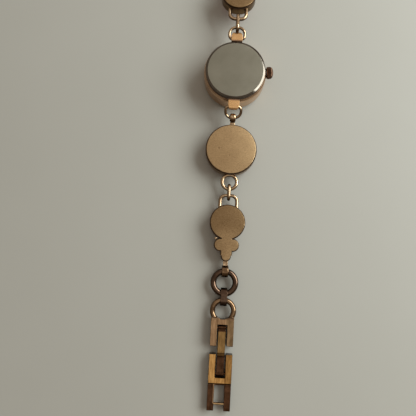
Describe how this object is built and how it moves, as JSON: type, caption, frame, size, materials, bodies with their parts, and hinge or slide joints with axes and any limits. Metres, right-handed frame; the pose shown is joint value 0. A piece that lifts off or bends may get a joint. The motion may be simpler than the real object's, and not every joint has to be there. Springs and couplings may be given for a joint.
{
  "type": "bracelet_wristwatch",
  "caption": "Small round quartz bracelet watch in rose-gold plate with a satin steel case back, round and trefoil stone-set links and a ladder clasp.",
  "frame": {"origin": "Centre of the crystal's outer face, the lowest point of the watch head as it lies face down", "axes": "+Z out of the case back, -Z out of the dial, +X towards the crown at 3 o'clock, -Y towards 12 o'clock and the ladder end of the bracelet, +Y towards 6 o'clock and the hook end"},
  "size_m": [0.0206, 0.1795, 0.0084],
  "materials": {
    "rose_plated_case": "rose-gold plated, polished",
    "steel_back": "satin stainless steel with a polished bevel",
    "crystal_glass": "clear mineral glass",
    "dial_paint": "pale sunray enamel",
    "polished_rose": "rose-gold plated, polished",
    "gasket_rubber": "matt",
    "white_plastic": "moulded nylon",
    "movement_brass": "machined brass",
    "movement_steel": "machined steel",
    "circuit_green": "printed circuit board",
    "copper_coil": "enamelled copper wire",
    "cast_rose_gold": "cast, plated, sandy texture",
    "pink_stone": "rose-pink domed stone",
    "rose_wire": "rose-gold plated, polished, darkened",
    "clasp_rose": "rose-gold plated, polished, worn",
    "pin_gold": "polished pins"
  },
  "bodies": {
    "head": {"case_middle": "rose_plated_case", "bezel": "rose_plated_case", "crystal": "crystal_glass", "crystal_gasket": "white_plastic", "rehaut": "rose_plated_case", "dial": "dial_paint", "hour_markers": "polished_rose", "case_back": "steel_back", "case_gasket": "gasket_rubber", "crown_tube": "movement_steel", "movement_ring": "white_plastic", "main_plate": "movement_brass", "train_bridge": "movement_steel", "battery": "movement_steel", "battery_clip": "movement_brass", "circuit_board": "circuit_green", "quartz_can": "movement_steel", "coil": "copper_coil", "stator": "movement_steel", "movement_screws": "movement_steel"},
    "rotor": {"rotor": "movement_steel"},
    "fifth_wheel": {"fifth_wheel": "movement_brass"},
    "second": {"second_wheel": "movement_brass", "second_hand": "polished_rose"},
    "third_wheel": {"third_wheel": "movement_brass"},
    "centre_wheel": {"centre_wheel": "movement_brass"},
    "minute": {"minute_pinion": "movement_steel", "minute_hand": "polished_rose"},
    "minute_wheel": {"minute_wheel": "movement_brass"},
    "hour": {"hour_wheel": "movement_brass", "hour_hand": "polished_rose"},
    "setting_lever": {"setting_lever": "movement_steel"},
    "crown_slide": {"crown_gasket": "gasket_rubber"},
    "crown_turn": {"crown": "rose_plated_case", "stem": "movement_steel"},
    "sliding_pinion": {"sliding_pinion": "movement_steel"},
    "d_ring_12": {"d_ring_12": "rose_wire"},
    "disc_12": {"disc_link_12": "cast_rose_gold", "disc_stone_12": "pink_stone"},
    "jump_ring_12": {"jump_ring_12": "rose_wire"},
    "small_12": {"small_link_12": "cast_rose_gold", "small_stones_12": "pink_stone"},
    "round_ring": {"round_ring": "rose_wire"},
    "connector": {"connector": "rose_wire"},
    "clasp_head": {"clasp_head": "clasp_rose", "clasp_pin": "pin_gold"},
    "tongue": {"tongue": "clasp_rose"},
    "clasp_frame": {"clasp_frame": "clasp_rose", "frame_pins": "pin_gold"},
    "d_ring_6": {"d_ring_6": "rose_wire"},
    "jump_ring_6": {"jump_ring_6": "rose_wire"},
    "small_6": {"small_link_6": "cast_rose_gold", "small_stones_6": "pink_stone"},
    "disc_6": {"disc_link_6": "cast_rose_gold", "disc_stone_6": "pink_stone"},
    "end_ring_6": {"end_ring_6": "rose_wire"},
    "hook_plate": {"hook_plate": "clasp_rose", "hook_pin": "pin_gold"},
    "hook_cover": {"hook_cover": "clasp_rose"}
  },
  "joints": [
    {"name": "second_turn", "type": "hinge", "parent": "head", "child": "second", "pos_m": [0, 0, 0.004], "axis": [0, 0, 1], "continuous": true},
    {"name": "rotor_turn", "type": "hinge", "parent": "head", "child": "rotor", "pos_m": [-0.00043, 0.00327, 0.004], "axis": [0, 0, 1], "continuous": true},
    {"name": "fifth_turn", "type": "hinge", "parent": "head", "child": "fifth_wheel", "pos_m": [0.00056, 0.00209, 0.004], "axis": [0, 0, 1], "continuous": true},
    {"name": "third_turn", "type": "hinge", "parent": "head", "child": "third_wheel", "pos_m": [0.00108, -0.00187, 0.004], "axis": [0, 0, 1], "continuous": true},
    {"name": "centre_turn", "type": "hinge", "parent": "head", "child": "centre_wheel", "pos_m": [0, 0, 0.004], "axis": [0, 0, 1], "continuous": true},
    {"name": "minute_turn", "type": "hinge", "parent": "head", "child": "minute", "pos_m": [0, 0, 0.004], "axis": [0, 0, 1], "continuous": true},
    {"name": "minute_wheel_turn", "type": "hinge", "parent": "head", "child": "minute_wheel", "pos_m": [-0.00166, 0.00096, 0.004], "axis": [0, 0, 1], "continuous": true},
    {"name": "hour_turn", "type": "hinge", "parent": "head", "child": "hour", "pos_m": [0, 0, 0.004], "axis": [0, 0, 1], "continuous": true},
    {"name": "crown_pull", "type": "slide", "parent": "head", "child": "crown_slide", "axis": [0.9954, 0.0958, 0], "range_m": [0, 0.0007]},
    {"name": "crown_turn", "type": "hinge", "parent": "crown_slide", "child": "crown_turn", "pos_m": [0.00995, 0.00096, 0.00415], "axis": [0.9954, 0.0958, 0], "continuous": true},
    {"name": "pinion_shift", "type": "slide", "parent": "crown_turn", "child": "sliding_pinion", "axis": [0.9954, 0.0958, 0], "range_m": [-0.0012, 0]},
    {"name": "lever_swing", "type": "hinge", "parent": "head", "child": "setting_lever", "pos_m": [0.00549, -0.00118, 0.00468], "axis": [0, 0, 1], "range_deg": [-24, 0]},
    {"name": "d_ring_12_swing", "type": "hinge", "parent": "head", "child": "d_ring_12", "pos_m": [0, -0.0106, 0.0063], "axis": [-1, 0, 0], "range_deg": [-45, 130]},
    {"name": "disc_12_swing", "type": "hinge", "parent": "d_ring_12", "child": "disc_12", "pos_m": [0, -0.01332, 0.00418], "axis": [1, 0, 0], "range_deg": [-110, 90]},
    {"name": "jump_ring_12_swing", "type": "hinge", "parent": "disc_12", "child": "jump_ring_12", "pos_m": [0, -0.03427, 0.0028], "axis": [-1, 0, 0], "range_deg": [-90, 90]},
    {"name": "small_12_swing", "type": "hinge", "parent": "jump_ring_12", "child": "small_12", "pos_m": [0, -0.03606, 0.00261], "axis": [1, 0, 0], "range_deg": [-90, 90]},
    {"name": "round_ring_swing", "type": "hinge", "parent": "small_12", "child": "round_ring", "pos_m": [0, -0.05786, 0.00183], "axis": [-1, 0, 0], "range_deg": [-90, 90]},
    {"name": "connector_swing", "type": "hinge", "parent": "round_ring", "child": "connector", "pos_m": [0, -0.06416, 0.00181], "axis": [1, 0, 0], "range_deg": [-90, 90]},
    {"name": "clasp_head_swing", "type": "hinge", "parent": "connector", "child": "clasp_head", "pos_m": [0, -0.06591, 0.00179], "axis": [-1, 0, 0], "range_deg": [-90, 90]},
    {"name": "tongue_fold", "type": "hinge", "parent": "clasp_head", "child": "tongue", "pos_m": [0, -0.07351, 0.00164], "axis": [1, 0, 0], "range_deg": [-90, 90]},
    {"name": "clasp_frame_fold", "type": "hinge", "parent": "tongue", "child": "clasp_frame", "pos_m": [0, -0.0861, 0.00139], "axis": [-1, 0, 0], "range_deg": [-90, 100]},
    {"name": "d_ring_6_swing", "type": "hinge", "parent": "head", "child": "d_ring_6", "pos_m": [0, 0.00975, 0.0063], "axis": [1, 0, 0], "range_deg": [-80, 100]},
    {"name": "jump_ring_6_swing", "type": "hinge", "parent": "d_ring_6", "child": "jump_ring_6", "pos_m": [0, 0.01317, 0.00678], "axis": [-1, 0, 0], "range_deg": [-90, 90]},
    {"name": "small_6_swing", "type": "hinge", "parent": "jump_ring_6", "child": "small_6", "pos_m": [0, 0.01612, 0.00626], "axis": [1, 0, 0], "range_deg": [-90, 90]},
    {"name": "disc_6_swing", "type": "hinge", "parent": "small_6", "child": "disc_6", "pos_m": [0, 0.03767, 0.00286], "axis": [-1, 0, 0], "range_deg": [-90, 90]},
    {"name": "end_ring_6_swing", "type": "hinge", "parent": "disc_6", "child": "end_ring_6", "pos_m": [0, 0.05862, 0.00423], "axis": [1, 0, 0], "range_deg": [-50, 90]},
    {"name": "hook_plate_swing", "type": "hinge", "parent": "end_ring_6", "child": "hook_plate", "pos_m": [0, 0.06234, 0.00229], "axis": [-1, 0, 0], "range_deg": [-90, 90]},
    {"name": "hook_cover_fold", "type": "hinge", "parent": "hook_plate", "child": "hook_cover", "pos_m": [0, 0.07434, 0.00165], "axis": [1, 0, 0], "range_deg": [0, 180]}
  ],
  "couplings": [
    {"joint": "rotor_turn", "follows": "second_turn", "ratio": 30},
    {"joint": "fifth_turn", "follows": "second_turn", "ratio": -5},
    {"joint": "third_turn", "follows": "second_turn", "ratio": -0.13333},
    {"joint": "centre_turn", "follows": "second_turn", "ratio": 0.016667},
    {"joint": "minute_wheel_turn", "follows": "minute_turn", "ratio": -0.33333},
    {"joint": "hour_turn", "follows": "minute_turn", "ratio": 0.083333},
    {"joint": "pinion_shift", "follows": "crown_pull", "ratio": -1.7143},
    {"joint": "lever_swing", "follows": "crown_pull", "rad_per_m": -588.24}
  ]
}
